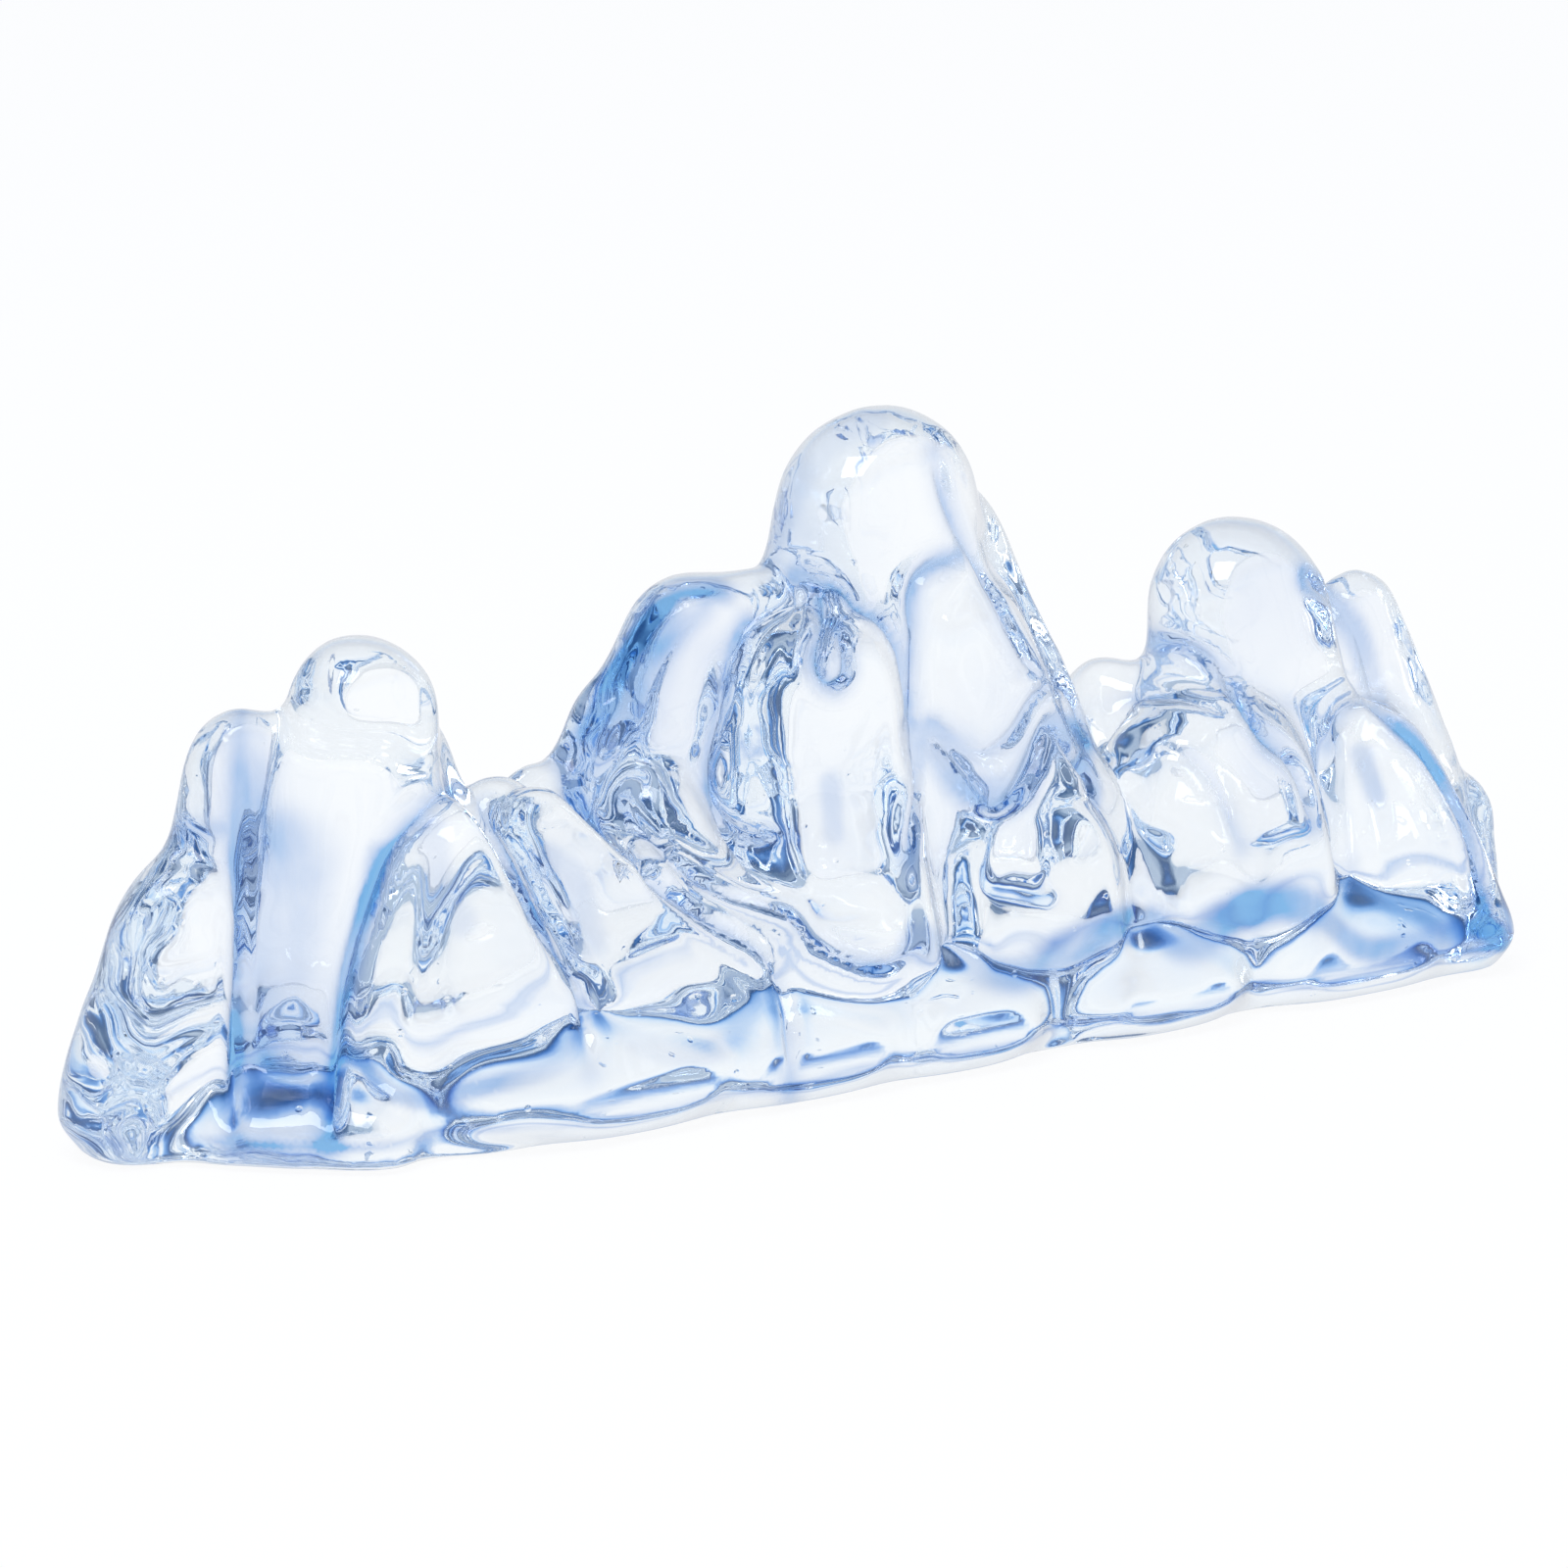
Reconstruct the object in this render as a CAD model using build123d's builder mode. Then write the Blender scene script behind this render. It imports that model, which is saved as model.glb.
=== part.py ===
from build123d import *
import math
import os

# A cast glass brush rest in the form of a row of three mountain peaks. It is one solid casting.
# The origin is on the ground under the middle of the foot. +X runs along the range, from the low
# left peak to the right peak, -Y is the front and +Z is up.

# Driving dimensions, in millimetres. The brushes lie in the two valleys.
length = 130.0
depth = 30.0
left_peak_height = 36.8
left_valley_height = 25.6
shoulder_height = 37.7
main_peak_height = 49.0
right_valley_height = 27.2
right_peak_height = 36.8
foot_height = 14.0

half_length = length / 2
half_depth = depth / 2

# The range is heaped up from boulders. Each has a round toe and a round crown, and its skin is drawn
# tight between the two. A row holds, for the toe and then for the crown: x as a share of half the
# length, y as a share of half the depth, z as a share of the height of that part of the range, and
# the radius as a share of half the depth. The toe's z is its middle and the crown's z is its top.
left_peak_shares = [
    ((-0.89, 0.24, 0.07, 0.45), (-0.86, 0.17, 0.59, 0.31)),
    ((-0.80, 0.30, 0.14, 0.43), (-0.77, 0.23, 0.88, 0.25)),
    ((-0.67, 0.07, 0.07, 0.55), (-0.65, -0.07, 1.00, 0.35)),
    ((-0.53, 0.20, 0.11, 0.60), (-0.60, 0.03, 0.85, 0.28)),
    ((-0.68, 0.40, 0.08, 0.55), (-0.63, 0.43, 0.78, 0.29)),
]
left_valley_shares = [
    ((-0.57, -0.33, 0.09, 0.63), (-0.60, -0.43, 1.00, 0.19)),
    ((-0.29, -0.44, 0.10, 0.51), (-0.46, -0.33, 0.97, 0.16)),
    ((-0.05, -0.50, 0.10, 0.45), (-0.30, -0.33, 0.75, 0.20)),
    ((-0.40, 0.13, 0.20, 0.60), (-0.47, -0.03, 0.97, 0.18)),
    ((-0.46, 0.38, 0.12, 0.57), (-0.38, 0.27, 0.98, 0.18)),
    ((-0.23, -0.07, 0.24, 0.53), (-0.26, -0.07, 0.94, 0.21)),
]
shoulder_shares = [
    ((-0.27, 0.30, 0.16, 0.60), (-0.17, 0.20, 1.00, 0.35)),
    ((-0.07, 0.33, 0.16, 0.60), (-0.10, 0.13, 0.99, 0.25)),
    ((-0.30, 0.37, 0.08, 0.58), (-0.28, 0.27, 0.80, 0.20)),
]
main_peak_shares = [
    ((0.08, 0.12, 0.16, 0.72), (0.06, 0.00, 1.00, 0.52)),
    ((-0.08, -0.37, 0.11, 0.49), (-0.07, -0.27, 0.70, 0.43)),
    ((0.18, -0.31, 0.41, 0.43), (0.12, -0.33, 0.74, 0.37)),
    ((0.28, -0.07, 0.12, 0.67), (0.15, 0.03, 0.87, 0.33)),
    ((0.19, -0.42, 0.05, 0.55), (0.18, -0.44, 0.43, 0.52)),
    ((0.14, 0.38, 0.06, 0.57), (0.17, 0.33, 0.73, 0.36)),
    ((0.40, 0.39, 0.06, 0.56), (0.38, 0.33, 0.45, 0.31)),
]
right_valley_shares = [
    ((0.48, -0.38, 0.10, 0.58), (0.48, -0.38, 0.90, 0.56)),
    ((0.51, -0.07, 0.37, 0.40), (0.50, -0.10, 1.00, 0.22)),
    ((0.57, 0.38, 0.11, 0.57), (0.44, 0.27, 0.98, 0.22)),
]
right_peak_shares = [
    ((0.68, 0.05, 0.16, 0.60), (0.58, -0.07, 1.00, 0.47)),
    ((0.87, 0.10, 0.14, 0.53), (0.79, 0.07, 0.84, 0.25)),
    ((0.78, -0.42, 0.07, 0.53), (0.73, -0.33, 0.58, 0.35)),
    ((0.89, 0.00, 0.11, 0.45), (0.93, 0.00, 0.36, 0.27)),
    ((0.81, 0.39, 0.08, 0.56), (0.77, 0.37, 0.56, 0.32)),
]

# Long boulders that lie down: the core, which leaves the range solid, and the kerbs that run along the
# foot at the left corner, the front and the back
foot_shares = [
    ((-0.58, 0.03, 0.36, 0.60), (0.72, 0.00, 1.00, 0.60)),
    ((-0.83, -0.04, 0.00, 0.32), (-0.70, -0.48, 0.39, 0.36)),
    ((-0.57, -0.61, 0.19, 0.39), (0.81, -0.64, 0.54, 0.36)),
    ((-0.80, 0.64, 0.16, 0.36), (0.82, 0.64, 0.54, 0.36)),
]


# One boulder: the skin drawn tight over a toe ball and a crown ball
def boulder(toe, crown, top_height):
    toe_middle = Vector(toe[0] * half_length, toe[1] * half_depth, toe[2] * top_height)
    toe_radius = toe[3] * half_depth
    crown_radius = crown[3] * half_depth
    crown_top = crown[2] * top_height
    crown_middle = Vector(crown[0] * half_length, crown[1] * half_depth, crown_top - crown_radius)
    rise = crown_middle - toe_middle
    touch_angle = math.degrees(math.acos((toe_radius - crown_radius) / rise.length))
    toe_touch = Vector(toe_radius, 0).rotate(Axis.Z, touch_angle)
    crown_touch = Vector(rise.length, 0) + Vector(crown_radius, 0).rotate(Axis.Z, touch_angle)
    side = Plane(origin=toe_middle, x_dir=rise, z_dir=rise.cross(Vector(0, 1, 0)))
    with BuildPart() as stone:
        with BuildSketch(side):
            with BuildLine():
                CenterArc((0, 0), toe_radius, touch_angle, 180 - touch_angle)
                Line(toe_touch, crown_touch)
                CenterArc((rise.length, 0), crown_radius, 0, touch_angle)
                Line((rise.length + crown_radius, 0), (-toe_radius, 0))
            make_face()
        revolve(axis=Axis(toe_middle, rise))
    return stone.part


# One stretch of the range: its boulders heaped together
def stretch(top_height, rows):
    with BuildPart() as heap:
        add([boulder(toe, crown, top_height) for toe, crown in rows])
    return heap.part


stretches = [
    stretch(left_peak_height, left_peak_shares),
    stretch(left_valley_height, left_valley_shares),
    stretch(shoulder_height, shoulder_shares),
    stretch(main_peak_height, main_peak_shares),
    stretch(right_valley_height, right_valley_shares),
    stretch(right_peak_height, right_peak_shares),
    stretch(foot_height, foot_shares),
]

# The whole casting: the stretches run together, ground flat underneath
with BuildPart() as glass_mountain:
    add(stretches)
    split(bisect_by=Plane.XY)

glass_mountain.part.label = "glass_mountain"
size = glass_mountain.part.bounding_box()
print("solids", len(glass_mountain.part.solids()), "volume", round(glass_mountain.part.volume))
print("box", size.min, size.max)

os.makedirs("parts", exist_ok=True)
export_step(glass_mountain.part, "parts/glass_mountain.step")
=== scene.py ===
import math

import bmesh
import bpy
import numpy as np
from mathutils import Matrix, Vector
from mathutils.bvhtree import BVHTree


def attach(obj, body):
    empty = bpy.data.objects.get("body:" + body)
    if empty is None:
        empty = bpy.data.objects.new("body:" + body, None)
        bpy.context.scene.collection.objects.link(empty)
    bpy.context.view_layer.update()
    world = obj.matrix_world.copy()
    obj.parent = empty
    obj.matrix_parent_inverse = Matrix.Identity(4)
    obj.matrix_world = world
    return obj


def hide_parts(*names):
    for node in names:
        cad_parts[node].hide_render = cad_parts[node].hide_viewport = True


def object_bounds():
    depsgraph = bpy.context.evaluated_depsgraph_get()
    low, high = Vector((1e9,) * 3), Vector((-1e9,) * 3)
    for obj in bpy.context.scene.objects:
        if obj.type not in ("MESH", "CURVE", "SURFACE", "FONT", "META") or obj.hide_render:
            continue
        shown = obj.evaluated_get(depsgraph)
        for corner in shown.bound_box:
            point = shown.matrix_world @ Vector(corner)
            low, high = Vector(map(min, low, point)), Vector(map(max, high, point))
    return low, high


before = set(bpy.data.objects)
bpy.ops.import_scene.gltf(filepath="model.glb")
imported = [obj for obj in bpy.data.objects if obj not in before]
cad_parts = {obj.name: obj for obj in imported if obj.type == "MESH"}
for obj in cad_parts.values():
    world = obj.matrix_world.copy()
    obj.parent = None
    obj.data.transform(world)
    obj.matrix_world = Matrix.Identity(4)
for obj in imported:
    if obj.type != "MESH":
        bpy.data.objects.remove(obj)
cad_low, cad_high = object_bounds()

MM = 0.001                                  # the frame is in metres


# Camera ----------------------------------------------------------------------------------------------

# Where the photographer stood: turned to the left of the front, a little above the desk
view_azimuth = math.radians(-34.0)
view_elevation = math.radians(13.5)
view_distance = 470.0 * MM
aim_point = Vector((-12.0, -11.0, 24.0)) * MM
sensor_width = 36.0
near_clip, far_clip = 0.01, 20.0
frame_px = 1600.0
px_per_mm = 13.8                            # at the aim point, in the 1600-pixel frame
focal_px = px_per_mm * view_distance / MM

view_back = Vector((math.sin(view_azimuth) * math.cos(view_elevation),
                    -math.cos(view_azimuth) * math.cos(view_elevation),
                    math.sin(view_elevation)))
view_right = Vector((math.cos(view_azimuth), math.sin(view_azimuth), 0.0))
view_up = view_back.cross(view_right)
camera_place = aim_point + view_back * view_distance


def place_camera():
    data = bpy.data.cameras.new("camera")
    data.sensor_width = sensor_width
    data.lens = focal_px * sensor_width / frame_px
    data.clip_start, data.clip_end = near_clip, far_clip
    camera = bpy.data.objects.new("camera", data)
    camera.rotation_mode = "QUATERNION"
    camera.location = camera_place
    camera.rotation_quaternion = (-view_back).to_track_quat("-Z", "Y")
    bpy.context.scene.collection.objects.link(camera)
    bpy.context.scene.camera = camera


# The line of sight through a pixel of the photograph
def sight(across, down):
    middle = frame_px / 2
    return (-view_back + view_right * ((across - middle) / focal_px)
            - view_up * ((down - middle) / focal_px)).normalized()


# Shader nodes ----------------------------------------------------------------------------------------

# A new node with its settings, and with plain values on some of its inputs
def add_node(tree, kind, values=None, **settings):
    node = tree.nodes.new("ShaderNode" + kind)
    for name, setting in settings.items():
        setattr(node, name, setting)
    for socket, value in (values or {}).items():
        node.inputs[socket].default_value = value
    return node


# Wires, each from a node's output to a node's input
def wire(tree, *wires):
    for source, output, target, socket in wires:
        tree.links.new(source.outputs[output], target.inputs[socket])


# The sockets of a mix node that mixes colours
mix_share, mix_first, mix_second, mix_result = 0, 6, 7, 2


# Studio ----------------------------------------------------------------------------------------------

# The light tent: white low down in front and behind, blue above and towards its two ends. Each mark is a
# height, as the sine of the elevation, and the colour there.
sky_marks = [
    (0.00, (1.00, 1.00, 1.00)),
    (0.32, (0.98, 0.99, 1.00)),
    (0.44, (0.72, 0.86, 1.00)),
    (0.55, (0.25, 0.50, 0.90)),
    (0.67, (0.05, 0.19, 0.52)),
    (0.80, (0.02, 0.06, 0.16)),
    (0.91, (0.16, 0.26, 0.42)),
    (1.00, (0.55, 0.64, 0.76)),
]
sky_end_drop = 0.30                         # how much lower the blue reaches at the two ends

# The white card that the rest stands on
floor_reach, floor_level = 3.0, -0.15 * MM
card_white = (0.95, 0.95, 0.95, 1.0)
card_glow, glow_share = 1.03, 0.9           # most of it glows, so that it is as white as the background

# The lamp over the photographer's left shoulder
lamp_width, lamp_depth = 0.5, 0.35
lamp_power = 3.0
lamp_place, lamp_aim = (-0.35, -0.25, 0.75), (0.0, 0.0, 0.02)


def studio_sky():
    world = bpy.data.worlds.new("studio_sky")
    bpy.context.scene.world = world
    world.use_nodes = True
    tree = world.node_tree
    tree.nodes.clear()
    place = add_node(tree, "TexCoord")
    split = add_node(tree, "SeparateXYZ")
    # the blue reaches lower, the more a direction turns from the photographer's towards the two ends
    to_camera = (math.sin(view_azimuth), -math.cos(view_azimuth), 0.0)
    along = add_node(tree, "VectorMath", {1: to_camera}, operation="DOT_PRODUCT")
    square = add_node(tree, "Math", operation="MULTIPLY")
    ends = add_node(tree, "Math", {1: -sky_end_drop, 2: sky_end_drop}, operation="MULTIPLY_ADD")
    reach = add_node(tree, "Math", operation="ADD", use_clamp=True)
    ramp = add_node(tree, "ValToRGB")
    sky = add_node(tree, "Background")
    # the camera itself sees plain white
    white = add_node(tree, "Background", {"Color": (1.0, 1.0, 1.0, 1.0)})
    path = add_node(tree, "LightPath")
    mix = add_node(tree, "MixShader")
    out = add_node(tree, "OutputWorld")
    wire(tree,
         (place, "Generated", split, 0),
         (place, "Generated", along, 0),
         (along, "Value", square, 0),
         (along, "Value", square, 1),
         (square, 0, ends, 0),
         (ends, 0, reach, 0),
         (split, "Z", reach, 1),
         (reach, 0, ramp, "Fac"),
         (ramp, "Color", sky, "Color"),
         (path, "Is Camera Ray", mix, "Fac"),
         (sky, 0, mix, 1),
         (white, 0, mix, 2),
         (mix, 0, out, "Surface"))
    stops = ramp.color_ramp
    stops.interpolation = "B_SPLINE"
    stops.elements[0].position, stops.elements[0].color = sky_marks[0][0], (*sky_marks[0][1], 1.0)
    stops.elements[1].position, stops.elements[1].color = sky_marks[-1][0], (*sky_marks[-1][1], 1.0)
    for height, colour in sky_marks[1:-1]:
        mark = stops.elements.new(height)
        mark.color = (*colour, 1.0)


def white_floor():
    mesh = bpy.data.meshes.new("white_floor")
    reach, level = floor_reach, floor_level
    corners = [(-reach, -reach, level), (reach, -reach, level),
               (reach, reach, level), (-reach, reach, level)]
    mesh.from_pydata(corners, [], [(0, 1, 2, 3)])
    floor = bpy.data.objects.new("white_floor", mesh)
    bpy.context.scene.collection.objects.link(floor)
    card = bpy.data.materials.new("white_card")
    card.use_nodes = True
    tree = card.node_tree
    tree.nodes.clear()
    paper = add_node(tree, "BsdfDiffuse", {"Color": card_white})
    glow = add_node(tree, "Emission", {"Strength": card_glow})
    mix = add_node(tree, "MixShader", {"Fac": glow_share})
    out = add_node(tree, "OutputMaterial")
    wire(tree, (paper, 0, mix, 1), (glow, 0, mix, 2), (mix, 0, out, "Surface"))
    mesh.materials.append(card)


def soft_box():
    data = bpy.data.lights.new("soft_box", "AREA")
    data.shape = "RECTANGLE"
    data.size, data.size_y = lamp_width, lamp_depth
    data.energy = lamp_power
    lamp = bpy.data.objects.new("soft_box", data)
    lamp.location = lamp_place
    lamp.rotation_mode = "QUATERNION"
    lamp.rotation_quaternion = (Vector(lamp_aim) - lamp.location).to_track_quat("-Z", "Y")
    bpy.context.scene.collection.objects.link(lamp)


# The casting: one even skin over the solid -----------------------------------------------------------

# All lengths are in millimetres here
cell = 0.46                                 # the side of a cell of the skin
sole_share = 0.3                            # points lower than this share of a cell are on the sole
pool_speed, polish_speed = 0.7, 0.5         # how much of its pull a point follows in one round


# A copy of the solid, covered with even four-sided cells
def cast_blank():
    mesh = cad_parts["glass_mountain"].data.copy()
    bm = bmesh.new()
    bm.from_mesh(mesh)
    bmesh.ops.remove_doubles(bm, verts=bm.verts, dist=0.001 * MM)
    bm.to_mesh(mesh)
    bm.free()
    piece = bpy.data.objects.new("glass_casting", mesh)
    bpy.context.scene.collection.objects.link(piece)
    remesh = piece.modifiers.new("even_cells", "REMESH")
    remesh.mode = "VOXEL"
    remesh.voxel_size = cell * MM
    graph = bpy.context.evaluated_depsgraph_get()
    even = bpy.data.meshes.new_from_object(piece.evaluated_get(graph))
    piece.modifiers.clear()
    piece.data = even
    return piece


# The skin while it is worked: its points in millimetres, its cells and its edges
class Skin:
    def __init__(self, mesh):
        self.mesh = mesh
        points = np.empty(len(mesh.vertices) * 3)
        mesh.vertices.foreach_get("co", points)
        self.points = points.reshape(-1, 3) / MM
        cells = np.empty(len(mesh.loops), int)
        mesh.loops.foreach_get("vertex_index", cells)
        self.cells = cells.reshape(-1, 4)
        edges = np.empty(len(mesh.edges) * 2, int)
        mesh.edges.foreach_get("vertices", edges)
        self.start, self.end = edges.reshape(-1, 2).T
        self.count = np.bincount(edges, minlength=len(self.points)).astype(float)
        self.sole = self.points[:, 2] < sole_share * cell

    # From each point to the middle of its neighbours
    def pull(self):
        total = np.empty_like(self.points)
        for axis in range(3):
            total[:, axis] = (np.bincount(self.start, self.points[self.end, axis], len(self.points))
                              + np.bincount(self.end, self.points[self.start, axis], len(self.points)))
        return total / self.count[:, None] - self.points

    def outward(self):
        a, b, c, d = (self.points[self.cells[:, k]] for k in range(4))
        face = np.cross(c - a, d - b)
        total = np.zeros_like(self.points)
        for k in range(4):
            for axis in range(3):
                total[:, axis] += np.bincount(self.cells[:, k], face[:, axis], len(self.points))
        return total / np.linalg.norm(total, axis=1, keepdims=True)

    def write_back(self):
        self.mesh.vertices.foreach_set("co", (self.points * MM).ravel())
        self.mesh.update()


# Molten glass runs into the hollows: only what is hollow fills up
def pool(skin, rounds):
    for _ in range(rounds):
        pull, out = skin.pull(), skin.outward()
        rise = np.maximum(0.0, (pull * out).sum(1)) * pool_speed
        skin.points += out * rise[:, None]
        skin.points[skin.sole, 2] = 0.0


# Fire polish: all edges soften
def fire_polish(skin, rounds, where=1.0, pin_sole=True):
    weight = np.broadcast_to(where, len(skin.points))[:, None] * polish_speed
    for _ in range(rounds):
        skin.points += skin.pull() * weight
        if pin_sole:
            skin.points[skin.sole, 2] = 0.0


# From 0 at the start to 1 at the end, without a kink
def fade(values, start, end):
    share = np.clip((values - start) / (end - start), 0.0, 1.0)
    return share * share * (3.0 - 2.0 * share)


# Lines on the skin -----------------------------------------------------------------------------------

line_step_px = 4.0                          # about how far apart the points of a laid line are
least_step, longest_step = 1e-9, 9.0        # squares of the steps between which a laid line counts
crease_reach, lip_place = 4.0, 2.0          # from the crease's middle, in widths of the crease
lip_height = 0.3                            # as a share of the crease's depth
taper_share = 0.12                          # how much of a crease tapers off at each end


# A smooth line through pixels of the photograph, laid on the skin that is seen there
def lay_on_skin(tree, pixels):
    pixels = np.array(pixels, float)
    ends = np.vstack([2 * pixels[0] - pixels[1], pixels, 2 * pixels[-1] - pixels[-2]])
    line = []
    for a, b, c, d in zip(ends[:-3], ends[1:-2], ends[2:-1], ends[3:]):
        steps = max(2, int(np.linalg.norm(c - b) / line_step_px))
        for t in np.arange(steps) / steps:
            line.append(0.5 * (2 * b + (c - a) * t + (2 * a - 5 * b + 4 * c - d) * t ** 2
                               + (3 * b - a - 3 * c + d) * t ** 3))
    line.append(pixels[-1])
    laid = []
    for across, down in line:
        spot = tree.ray_cast(camera_place / MM, sight(across, down))[0]
        if spot is not None:
            laid.append(spot)
    return np.array(laid)


# How far each near point of the skin is from a laid line, and how far along it
def near_line(points, line, reach):
    low, high = line.min(0) - reach, line.max(0) + reach
    near = np.where(((points > low) & (points < high)).all(1))[0]
    best = np.full(len(near), np.inf)
    along = np.zeros(len(near))
    for k in range(len(line) - 1):
        step = line[k + 1] - line[k]
        size = step @ step
        if size < least_step or size > longest_step:
            continue
        away = points[near] - line[k]
        share = np.clip(away @ step / size, 0.0, 1.0)
        gap = np.linalg.norm(away - share[:, None] * step, axis=1)
        closer = gap < best
        best[closer], along[closer] = gap[closer], (k + share[closer]) / (len(line) - 1)
    return near, best, along


# A crease in the skin with a raised lip on each side
def crease(skin, line, width, depth):
    near, gap, along = near_line(skin.points, line, crease_reach * width)
    taper = fade(along, 0.0, taper_share) * fade(1.0 - along, 0.0, taper_share)
    lip = lip_height * np.exp(-((gap - lip_place * width) / width) ** 2)
    shape = -np.exp(-(gap / width) ** 2) + lip
    skin.points[near] += skin.outward()[near] * (shape * depth * taper)[:, None]


# Lobes and front -------------------------------------------------------------------------------------

half_length, half_depth = 65.0, 15.0

# The lobes of each stretch of the range, under its height: toe and crown, each as x, y, z and radius in
# shares of half the length, half the depth, the height and half the depth. The crown's z is its top.
# They are the solid's own, without the foot's and six that stand behind others.
lobes = {
    36.8: [
        ((-0.89, 0.24, 0.07, 0.45), (-0.86, 0.17, 0.59, 0.31)),
        ((-0.80, 0.30, 0.14, 0.43), (-0.77, 0.23, 0.88, 0.25)),
        ((-0.67, 0.07, 0.07, 0.55), (-0.65, -0.07, 1.00, 0.35)),
        ((-0.53, 0.20, 0.11, 0.60), (-0.60, 0.03, 0.85, 0.28)),
        ((-0.68, 0.40, 0.08, 0.55), (-0.63, 0.43, 0.78, 0.29)),
        ((0.68, 0.05, 0.16, 0.60), (0.58, -0.07, 1.00, 0.47)),
        ((0.87, 0.10, 0.14, 0.53), (0.79, 0.07, 0.84, 0.25)),
        ((0.78, -0.42, 0.07, 0.53), (0.73, -0.33, 0.58, 0.35)),
        ((0.89, 0.00, 0.11, 0.45), (0.93, 0.00, 0.36, 0.27)),
        ((0.81, 0.39, 0.08, 0.56), (0.77, 0.37, 0.56, 0.32)),
    ],
    25.6: [
        ((-0.57, -0.33, 0.09, 0.63), (-0.60, -0.43, 1.00, 0.19)),
        ((-0.29, -0.44, 0.10, 0.51), (-0.46, -0.33, 0.97, 0.16)),
        ((-0.05, -0.50, 0.10, 0.45), (-0.30, -0.33, 0.75, 0.20)),
    ],
    37.7: [
        ((-0.27, 0.30, 0.16, 0.60), (-0.17, 0.20, 1.00, 0.35)),
        ((-0.30, 0.37, 0.08, 0.58), (-0.28, 0.27, 0.80, 0.20)),
    ],
    49.0: [
        ((0.08, 0.12, 0.16, 0.72), (0.06, 0.00, 1.00, 0.52)),
        ((-0.08, -0.37, 0.11, 0.49), (-0.07, -0.27, 0.70, 0.43)),
        ((0.18, -0.31, 0.41, 0.43), (0.12, -0.33, 0.74, 0.37)),
        ((0.28, -0.07, 0.12, 0.67), (0.15, 0.03, 0.87, 0.33)),
        ((0.19, -0.42, 0.05, 0.55), (0.18, -0.44, 0.43, 0.52)),
        ((0.14, 0.38, 0.06, 0.57), (0.17, 0.33, 0.73, 0.36)),
        ((0.40, 0.39, 0.06, 0.56), (0.38, 0.33, 0.45, 0.31)),
    ],
    27.2: [
        ((0.48, -0.38, 0.10, 0.58), (0.48, -0.38, 0.90, 0.56)),
    ],
}

flat_keep = 0.2                             # how much of the roundness past the flat stays
flat_start, front_flat_start = 0.66, 0.52   # where the flat starts, as a share of the lobe's radius
front_lobe = -0.35                          # a front lobe's crown has a lower y share than this
lobe_skin, lobe_end = 0.35, 1.1             # this near to a lobe's surface is on it, this far is off it

grid = 0.8                                  # spacing at which the front's relief is read
brow_height, brow_fade = 26.0, 5.0          # the front is straightened up to here
straightening = 0.9                         # how much of the way
front_start, front_full = 1.0, 7.0          # how far in front of the middle plane it sets in
left_end, left_full = -40.0, -36.0          # left of this the left peak keeps its own front


# The real lobes are shields, not columns: each one's front and back are pressed flat
def press_flat(skin, height, toe, crown, start):
    foot = np.array([toe[0] * half_length, toe[1] * half_depth, toe[2] * height])
    crown_radius = crown[3] * half_depth
    head = np.array([crown[0] * half_length, crown[1] * half_depth, crown[2] * height - crown_radius])
    axis = head - foot
    away = skin.points - foot
    share = np.clip(away @ axis / (axis @ axis), 0.0, 1.0)
    across = away - share[:, None] * axis
    radius = toe[3] * half_depth + (crown_radius - toe[3] * half_depth) * share
    on_lobe = 1.0 - fade(np.abs(np.linalg.norm(across, axis=1) - radius), lobe_skin, lobe_end)
    facing = np.cross(axis, np.cross(np.array([0.0, -1.0, 0.0]), axis))
    facing /= np.linalg.norm(facing)
    proud = across @ facing
    limit = start * radius
    press = np.maximum(0.0, np.abs(proud) - limit) * (1.0 - flat_keep) * np.sign(proud)
    return -facing * (press * on_lobe)[:, None]


# Where two lobes meet, the stronger press counts. The lobes that stand in front are the flattest.
def flatten_lobes(skin):
    pressed = np.zeros_like(skin.points)
    for height, rows in lobes.items():
        for toe, crown in rows:
            start = front_flat_start if crown[1] < front_lobe else flat_start
            push = press_flat(skin, height, toe, crown, start)
            stronger = np.abs(push).sum(1) > np.abs(pressed).sum(1)
            pressed[stronger] = push[stronger]
    skin.points += pressed


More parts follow.
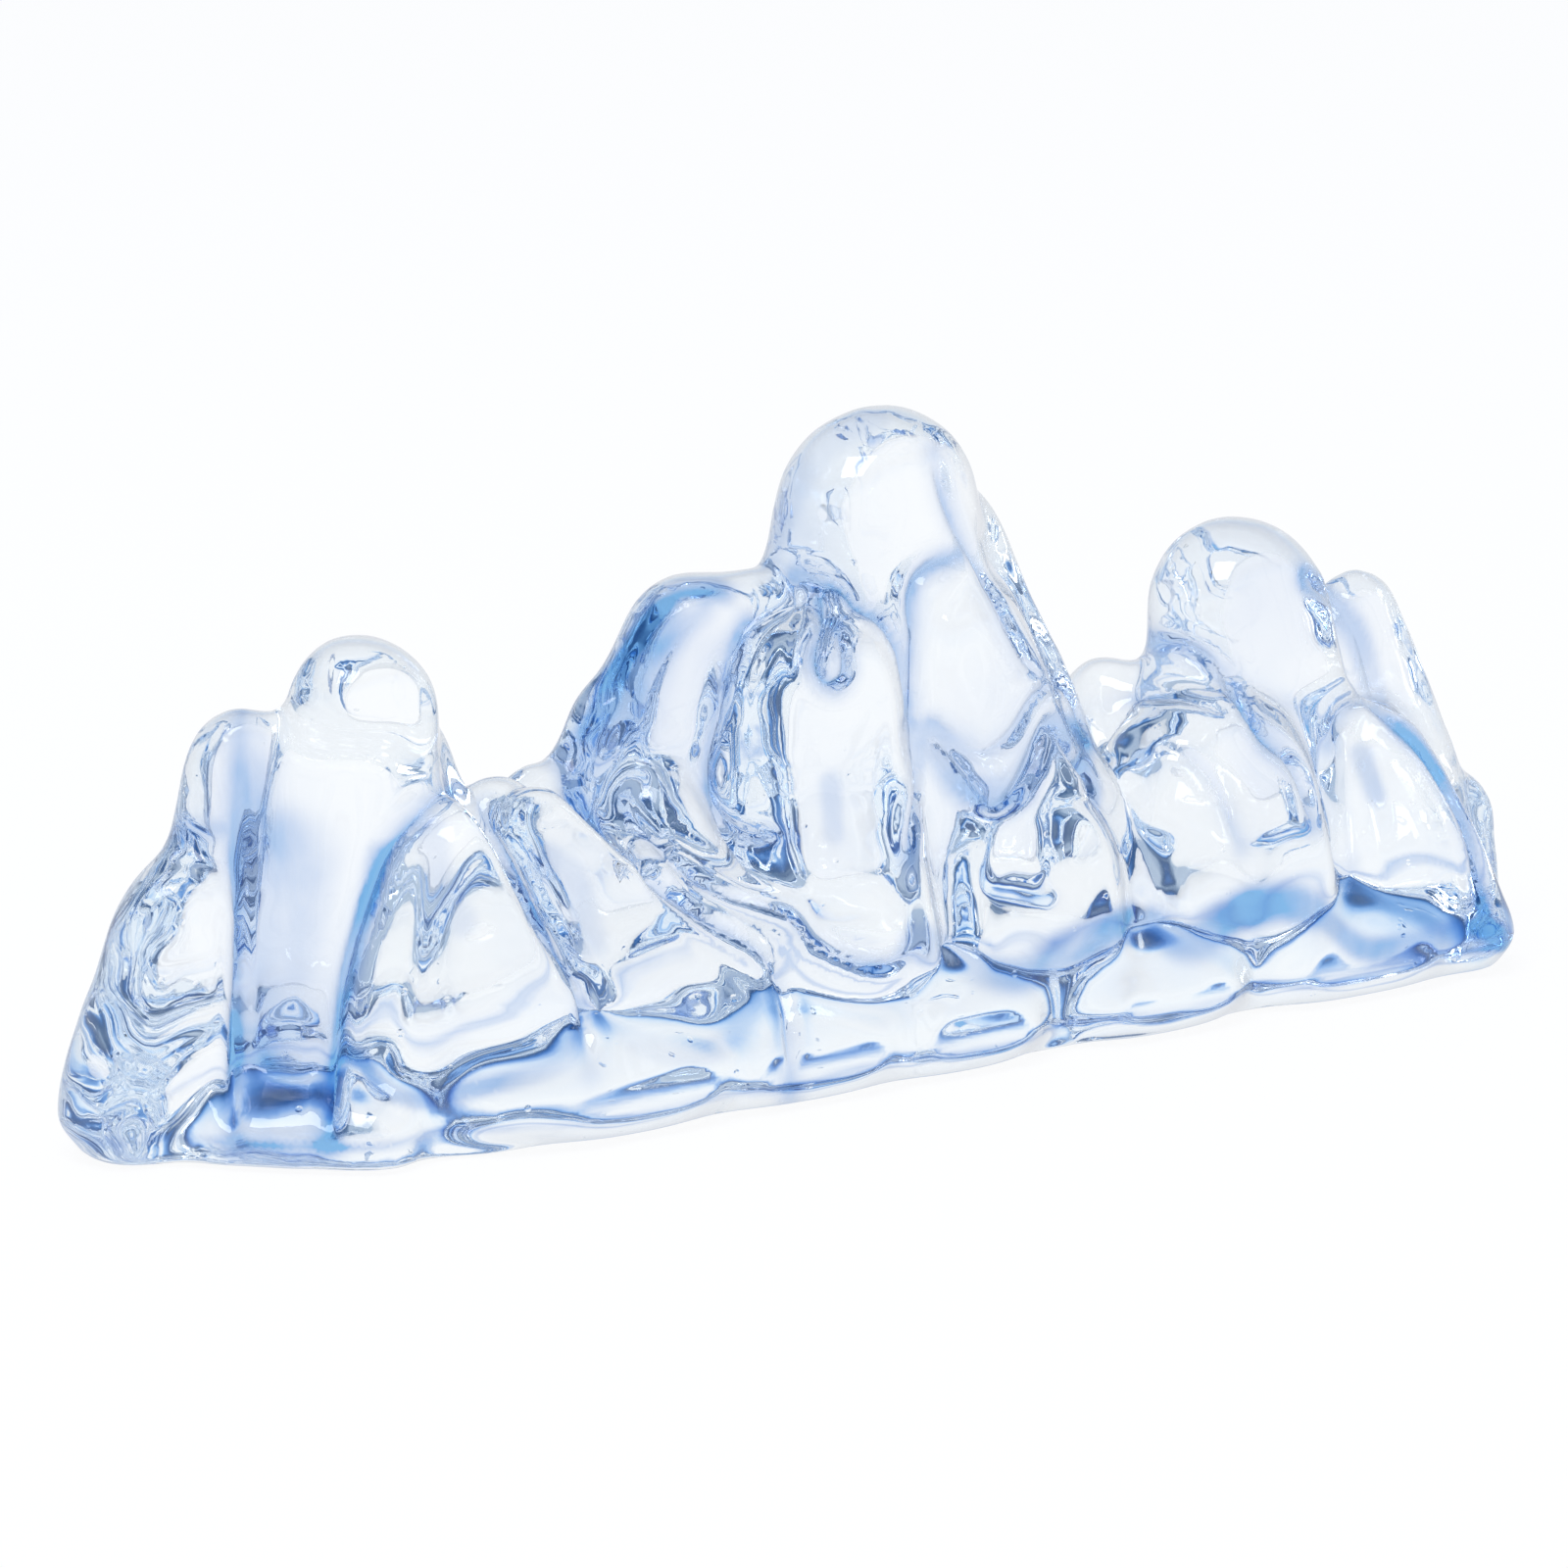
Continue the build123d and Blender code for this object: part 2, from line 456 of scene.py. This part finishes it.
# The front runs straight down to the foot: seen from the end, nothing below the lobes' brows is hollow
def straighten_front(skin):
    left = skin.points[:, 0].min()
    columns = ((skin.points[:, 0] - left) / grid).astype(int)
    rows = (skin.points[:, 2] / grid).astype(int)
    wide, tall = columns.max() + 1, int(brow_height / grid)
    front = np.zeros((wide, tall))
    below = (rows < tall) & (skin.points[:, 1] < 0.0)
    np.minimum.at(front, (columns[below], rows[below]), skin.points[below, 1])
    level = (np.arange(tall) + 0.5) * grid
    push = np.zeros_like(front)
    for k in range(wide):
        face = front[k]
        hull = face.copy()
        for i in range(tall):
            for j in range(i + 2, tall):
                inside = slice(i + 1, j)
                chord = (face[i] + (face[j] - face[i]) * (level[inside] - level[i])
                         / (level[j] - level[i]))
                hull[inside] = np.minimum(hull[inside], chord)
        push[k] = hull - face
    kernel = np.array([1.0, 2.0, 3.0, 2.0, 1.0]) / 9.0
    for axis in (0, 1):
        push = np.apply_along_axis(
            lambda line: np.convolve(np.pad(line, 2, "edge"), kernel, "valid"), axis, push)
    across = (skin.points[:, 0] - left) / grid - 0.5
    up = skin.points[:, 2] / grid - 0.5
    i = np.clip(across.astype(int), 0, wide - 2)
    j = np.clip(up.astype(int), 0, tall - 2)
    s, t = np.clip(across - i, 0.0, 1.0), np.clip(up - j, 0.0, 1.0)
    amount = ((push[i, j] * (1 - s) + push[i + 1, j] * s) * (1 - t)
              + (push[i, j + 1] * (1 - s) + push[i + 1, j + 1] * s) * t)
    where = (fade(-skin.points[:, 1], front_start, front_full)
             * fade(skin.points[:, 0], left_end, left_full)
             * (1.0 - fade(skin.points[:, 2], brow_height - brow_fade, brow_height)))
    skin.points[:, 1] += amount * where * straightening


# Relief and blue -------------------------------------------------------------------------------------

wave_count = 14
shortest_wave, longest_wave = 0.7, 1.5      # as shares of the asked length


# Slow waves in the skin, as cooling glass has, from a few sine waves in fixed random directions
def waves(points, length, seed):
    draw = np.random.default_rng(seed)
    total = np.zeros(len(points))
    for _ in range(wave_count):
        way = draw.normal(size=3)
        way *= math.tau / (length * draw.uniform(shortest_wave, longest_wave)) / np.linalg.norm(way)
        total += np.sin(points @ way + draw.uniform(0.0, math.tau))
    return total / math.sqrt(wave_count)


# Creases that the photograph shows: pixels of their lines, read one by one, width and depth
flow_lines = [
    ([(243, 720), (240, 800), (238, 900), (238, 1000), (237, 1100), (238, 1180)], 0.55, 0.5),
    ([(470, 800), (430, 830), (395, 870), (370, 935), (352, 1000), (343, 1090), (338, 1170)], 0.6, 0.5),
    ([(490, 830), (518, 870), (545, 930), (570, 985), (590, 1030), (600, 1095)], 0.5, 0.45),
    ([(580, 810), (610, 845), (640, 880), (700, 930), (770, 970), (790, 1005), (800, 1040), (808, 1130)],
     0.5, 0.5),
    ([(640, 820), (665, 860), (700, 895), (740, 915), (800, 935), (830, 965), (890, 985), (935, 965)],
     0.5, 0.45),
    ([(975, 566), (945, 580), (928, 605), (927, 680), (926, 760), (928, 810), (924, 880)], 0.5, 0.7),
    ([(815, 588), (838, 597), (855, 604), (872, 622), (892, 633), (908, 655), (914, 690), (917, 740)],
     0.55, 0.7),
    ([(838, 598), (838, 640), (832, 668), (834, 688), (846, 698), (859, 688), (858, 664), (850, 640)],
     0.5, 0.65),
    ([(950, 460), (960, 500), (972, 535), (985, 560), (1010, 610), (1040, 670), (1070, 702)], 0.5, 0.4),
    ([(762, 636), (745, 680), (735, 730), (722, 780), (728, 820), (760, 850), (805, 852)], 0.5, 0.4),
    ([(926, 762), (942, 752), (962, 765), (985, 800), (1008, 824), (1030, 812), (1050, 780), (1068, 738),
      (1090, 765), (1118, 832)], 0.6, 0.8),
    ([(926, 738), (950, 734), (975, 752), (1000, 768), (1030, 748), (1056, 708), (1082, 706),
      (1110, 760)], 0.45, 0.55),
    ([(1158, 650), (1190, 655), (1220, 664), (1245, 685), (1262, 722), (1285, 755), (1310, 775),
      (1325, 800), (1336, 842)], 0.55, 0.75),
    ([(1178, 768), (1195, 767), (1215, 778), (1235, 805), (1262, 862)], 0.35, 0.25),
    ([(1325, 588), (1350, 610), (1380, 640), (1395, 680), (1405, 722)], 0.5, 0.45),
    ([(1352, 760), (1360, 735), (1375, 720), (1395, 719), (1440, 760), (1470, 810), (1495, 860),
      (1512, 935)], 0.5, 0.5),
    ([(172, 850), (205, 848), (240, 842)], 0.5, 0.4),
    ([(600, 745), (625, 700), (650, 650), (690, 610), (735, 602)], 0.45, 0.35),
    ([(655, 750), (665, 700), (690, 650), (718, 622)], 0.4, 0.3),
    ([(1112, 722), (1160, 715), (1210, 720), (1262, 738)], 0.5, 0.25),
]

# Bands of painted blue reflection on the glass: pixels of their middle lines, read one by one, half
# width and strength
painted_reflection_bands = [
    ([(935, 962), (985, 985), (1035, 995), (1085, 968), (1150, 942)], 1.7, 0.95),
    ([(1172, 948), (1215, 962), (1262, 930), (1305, 920), (1340, 930)], 1.8, 1.0),
    ([(1350, 940), (1390, 968), (1440, 965), (1495, 950), (1538, 958)], 1.2, 0.85),
    ([(350, 1070), (372, 1085), (405, 1122), (480, 1112), (560, 1092), (584, 1068), (588, 1030)],
     0.8, 0.75),
    ([(595, 1030), (640, 1060), (700, 1078), (745, 1060), (770, 1020)], 1.0, 0.5),
    ([(300, 870), (292, 940), (290, 1010), (292, 1080), (290, 1160)], 3.3, 0.55),
    ([(262, 700), (258, 780), (262, 860)], 1.2, 0.4),
    ([(926, 768), (950, 765), (985, 802), (1030, 806), (1060, 765), (1085, 745), (1110, 800)],
     1.7, 0.75),
    ([(668, 625), (640, 680), (622, 735), (590, 775)], 2.2, 0.55),
    ([(735, 600), (690, 600), (655, 640)], 1.5, 0.4),
    ([(885, 428), (838, 462), (806, 515), (788, 575)], 1.8, 0.4),
    ([(762, 650), (738, 730), (722, 800), (760, 850), (800, 852)], 1.1, 0.5),
    ([(1330, 592), (1378, 640), (1402, 715)], 1.2, 0.7),
    ([(1398, 722), (1445, 765), (1492, 850), (1510, 930)], 0.9, 0.55),
    ([(1160, 652), (1220, 662), (1262, 722)], 0.8, 0.9),
    ([(440, 850), (450, 900), (470, 940)], 1.2, 0.35),
    ([(385, 870), (372, 940), (356, 1010)], 1.0, 0.4),
    ([(560, 880), (585, 905), (600, 960)], 1.6, 0.5),
    ([(845, 800), (848, 850)], 1.0, 0.75),
    ([(1388, 770), (1402, 812)], 1.0, 0.6),
]

# Broad clear faces that were polished longest: their middle and how far each spreads
clear_faces = [
    ((12.0, -13.5, 13.0), 6.5),
    ((31.0, -13.0, 15.0), 6.5),
    ((50.0, -12.0, 11.0), 5.0),
    ((-5.0, -12.0, 20.0), 5.5),
    ((4.0, -6.0, 42.0), 7.0),
    ((10.0, -9.5, 32.0), 4.0),
    ((38.5, -7.0, 30.0), 7.0),
    ((-36.0, -14.0, 8.0), 6.5),
    ((-43.0, -6.0, 27.0), 5.0),
    ((-60.0, -2.0, 9.0), 6.0),
    ((-35.0, -12.0, 15.0), 4.0),
]

# Patches where the base colour is bluer: the middle of the patch, how far it spreads and how blue it is
blue_clouds = [
    ((38.0, -3.0, 30.0), 10.0, 0.22),       # right peak
    ((53.0, 1.0, 24.0), 8.0, 0.12),         # its right side
    ((31.0, -8.0, 19.0), 9.0, 0.07),        # right valley
    ((-14.0, 2.0, 27.0), 8.0, 0.34),        # shoulder
    ((9.0, -9.0, 27.0), 4.5, 0.22),         # the zigzag band under the main peak's right lobe
    ((-51.0, 1.0, 24.0), 5.5, 0.28),        # small back peak on the left
    ((-3.5, 0.0, 41.0), 5.0, 0.40),         # left edge of the main peak
]

crease_gain = 1.3                           # on the depths of the flow lines
flow_gain = 1.5                             # how fast the painted shade along a flow line gets bluer with its depth
flow_reach, flow_spread = 4.0, 1.1          # how far from a flow line its painted blue shade reaches, and its width
band_reach = 3.0                            # how far from a band its painted blue reflection reaches, in half widths

# Rounds of polishing and pooling
pressed_rounds, pool_rounds, pooled_rounds = 10, 40, 6
face_rounds, line_rounds, back_rounds, rim_rounds = 60, 2, 110, 30
back_start, back_full = 0.0, 4.0            # how far behind the middle plane the back's polish sets in
rim_full, rim_end = 1.2, 3.2                # up to these heights the foot's edge is rounded

slow_wave, fine_wave = 0.15, 0.03
let_out = 0.4                               # polishing draws the skin in by about this much
lift_start, lift_full = 0.5, 3.0            # heights between which waves and letting out set in

hollow_rounds, hollow_depth = 60, 1.2       # this deep counts as fully hollow
hollow_start, hollow_full = 3.0, 7.0        # heights between which the painted shade in the hollows turns blue
# how strong the painted blue shade along the flow lines and the painted blue reflection along the foot
# are
flow_line_shade_strength, foot_reflection_strength = 0.95, 0.75
foot_line_height, foot_line_width, foot_line_sway = 2.3, 0.38, 0.25


# How hollow the skin is at a scale of a few cells, from -1, proud, to 1, hollow
def hollows(skin):
    ghost = skin.points.copy()
    for _ in range(hollow_rounds):
        skin.points += skin.pull() * polish_speed
    moved = ((skin.points - ghost) * skin.outward()).sum(1)
    skin.points[:] = ghost
    return np.clip(moved / hollow_depth, -1.0, 1.0)


# How much painted blue reflection the bands lay on each point
def band_painted_reflection(skin, tree):
    blue = np.zeros(len(skin.points))
    for pixels, width, strength in painted_reflection_bands:
        near, gap, _ = near_line(skin.points, lay_on_skin(tree, pixels), band_reach * width)
        blue[near] = np.maximum(blue[near], strength * np.exp(-(gap / width) ** 4))
    return blue


# Cuts the flow lines, and says how much painted blue shade they lay on each point
def cut_flow_lines(skin, tree):
    blue = np.zeros(len(skin.points))
    for pixels, width, depth in flow_lines:
        line = lay_on_skin(tree, pixels)
        near, gap, _ = near_line(skin.points, line, flow_reach)
        strength = min(1.0, flow_gain * depth)
        blue[near] = np.maximum(blue[near], strength * np.exp(-(gap / flow_spread) ** 2))
        crease(skin, line, width, crease_gain * depth)
    return blue


# Painted blue shade and reflection: painted shade in the hollows and along the flow lines, a painted
# reflection along the foot and in the bands, and bluer patches
def paint_shade_and_reflection(skin, flow_line_shade, band_reflection):
    hollow_shade = np.maximum(0.0, hollows(skin))
    # a painted reflection: a thin blue line along the foot, where its rounded edge starts
    height = skin.points[:, 2] + foot_line_sway * waves(skin.points, length=14.0, seed=7)
    foot_reflection = foot_reflection_strength * np.exp(-((height - foot_line_height) / foot_line_width) ** 2)
    clouds = np.zeros(len(skin.points))
    for middle, spread, strength in blue_clouds:
        gap = np.linalg.norm(skin.points - middle, axis=1) / spread
        clouds += strength * np.exp(-gap ** 2)
    return np.clip(hollow_shade * fade(skin.points[:, 2], hollow_start, hollow_full) + flow_line_shade_strength * flow_line_shade
                   + foot_reflection + clouds + band_reflection, 0.0, 1.0)


# Works the skin from the solid to the finished casting, and says how much painted blue shade and
# reflection each point gets
def shape_casting(skin):
    flatten_lobes(skin)
    straighten_front(skin)
    fire_polish(skin, pressed_rounds)
    pool(skin, pool_rounds)
    fire_polish(skin, pooled_rounds)
    for middle, spread in clear_faces:
        fire_polish(skin, face_rounds, np.exp(-((skin.points - middle) ** 2).sum(1) / spread ** 2))
    tree = BVHTree.FromPolygons([Vector(p) for p in skin.points], skin.cells.tolist())
    band_reflection = band_painted_reflection(skin, tree)
    flow_line_shade = cut_flow_lines(skin, tree)
    fire_polish(skin, line_rounds)
    # the back was polished longer, so it is calmer than the front
    fire_polish(skin, back_rounds, fade(skin.points[:, 1], back_start, back_full))
    # the foot's lower edge is rounded
    fire_polish(skin, rim_rounds, 1.0 - fade(skin.points[:, 2], rim_full, rim_end), pin_sole=False)
    skin.points[:, 2] = np.maximum(skin.points[:, 2], 0.0)
    # the skin gets its waves and is let out
    lift = fade(skin.points[:, 2], lift_start, lift_full)
    wave = (slow_wave * waves(skin.points, length=12.0, seed=3)
            + fine_wave * waves(skin.points, length=4.5, seed=5))
    skin.points += skin.outward() * ((wave + let_out) * lift)[:, None]
    # nothing of it stands out of the solid's own box
    skin.points = np.clip(skin.points, np.array(cad_low) / MM, np.array(cad_high) / MM)
    return paint_shade_and_reflection(skin, flow_line_shade, band_reflection)


# Kept with the skin for its material: how much painted blue shade and reflection each point gets
def paint(mesh, name, values):
    layer = mesh.attributes.new(name, "FLOAT", "POINT")
    layer.data.foreach_set("value", values.astype(np.float32))


# Glass -----------------------------------------------------------------------------------------------

refraction = 1.5
ground_roughness = 0.04                     # of the sole
clear_tint = (0.985, 0.995, 1.0, 1.0)
# the blue of the painted shade and reflection
painted_shade_and_reflection_tint = (0.05, 0.24, 0.66, 1.0)
painted_rim_shade_tint = (0.012, 0.05, 0.15, 1.0)         # painted shade at the rims, where the surface turns away from the eye
depth_tint, depth_density = (0.15, 0.55, 0.87, 1.0), 1.9


def glass_material():
    glass = bpy.data.materials.new("clear_blue_glass")
    glass.use_nodes = True
    tree = glass.node_tree
    shader = tree.nodes["Principled BSDF"]
    shader.inputs["Roughness"].default_value = 0.0
    shader.inputs["IOR"].default_value = refraction
    shader.inputs["Transmission Weight"].default_value = 1.0
    place = add_node(tree, "TexCoord")
    # the ground sole is a little rough
    height = add_node(tree, "SeparateXYZ")
    ground = add_node(tree, "MapRange",
                      {"From Min": 0.3 * MM, "From Max": 0.1 * MM, "To Max": ground_roughness})
    wire(tree,
         (place, "Object", height, 0),
         (height, "Z", ground, "Value"),
         (ground, "Result", shader, "Roughness"))
    # the painted blue shade and reflection comes in streaks
    painted_shade_and_reflection = add_node(tree, "Attribute", attribute_name="painted_blue_shade_and_reflection")
    streaks = add_node(tree, "TexNoise", {"Scale": 55.0, "Detail": 3.0, "Distortion": 1.2})
    stretch = add_node(tree, "MapRange",
                       {"From Min": 0.3, "From Max": 0.7, "To Min": 0.35, "To Max": 1.25})
    amount = add_node(tree, "Math", operation="MULTIPLY", use_clamp=True)
    blue = add_node(tree, "Mix", {mix_first: clear_tint, mix_second: painted_shade_and_reflection_tint}, data_type="RGBA")
    wire(tree,
         (place, "Object", streaks, "Vector"),
         (streaks, "Fac", stretch, "Value"),
         (painted_shade_and_reflection, "Fac", amount, 0),
         (stretch, "Result", amount, 1),
         (amount, 0, blue, mix_share))
    # painted shade: the rims are painted darker where the surface turns away from the eye
    edge = add_node(tree, "LayerWeight", {"Blend": 0.25})
    edge_curve = add_node(tree, "MapRange", {"From Min": 0.16, "From Max": 0.75, "To Max": 0.8})
    rim_shade = add_node(tree, "Mix", {mix_second: painted_rim_shade_tint}, data_type="RGBA")
    wire(tree,
         (edge, "Facing", edge_curve, "Value"),
         (edge_curve, "Result", rim_shade, mix_share),
         (blue, mix_result, rim_shade, mix_first),
         (rim_shade, mix_result, shader, "Base Color"))
    # seeds: tiny pits where bubbles broke the surface, in a faint ripple
    seeds = add_node(tree, "TexVoronoi", {"Scale": 330.0})
    pit = add_node(tree, "MapRange", {"From Min": 0.05, "From Max": 0.10})
    ripple = add_node(tree, "TexNoise", {"Scale": 420.0, "Detail": 2.0})
    relief = add_node(tree, "Math", {1: 0.35}, operation="MULTIPLY_ADD")
    bump = add_node(tree, "Bump", {"Strength": 0.5, "Distance": 0.05 * MM})
    wire(tree,
         (place, "Object", seeds, "Vector"),
         (seeds, "Distance", pit, "Value"),
         (place, "Object", ripple, "Vector"),
         (ripple, "Fac", relief, 0),
         (pit, "Result", relief, 2),
         (relief, 0, bump, "Height"),
         (bump, "Normal", shader, "Normal"))
    # thick glass takes on a light blue
    depth = add_node(tree, "VolumeAbsorption", {"Color": depth_tint, "Density": depth_density})
    wire(tree, (depth, 0, tree.nodes["Material Output"], "Volume"))
    return glass


# The scene -------------------------------------------------------------------------------------------

place_camera()
studio_sky()
white_floor()
soft_box()
casting = cast_blank()
skin = Skin(casting.data)
# how much painted blue shade and reflection each point gets
painted_shade_and_reflection = shape_casting(skin)
skin.write_back()
paint(casting.data, "painted_blue_shade_and_reflection", painted_shade_and_reflection)
casting.data.materials.clear()
casting.data.materials.append(glass_material())
casting.data.shade_smooth()
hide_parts("glass_mountain")
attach(casting, "root")

scene = bpy.context.scene
scene.view_settings.view_transform = "Standard"
scene.cycles.max_bounces = 32
scene.cycles.glossy_bounces = 24
scene.cycles.transmission_bounces = 24

print("casting triangles", sum(len(p.vertices) - 2 for p in casting.data.polygons))
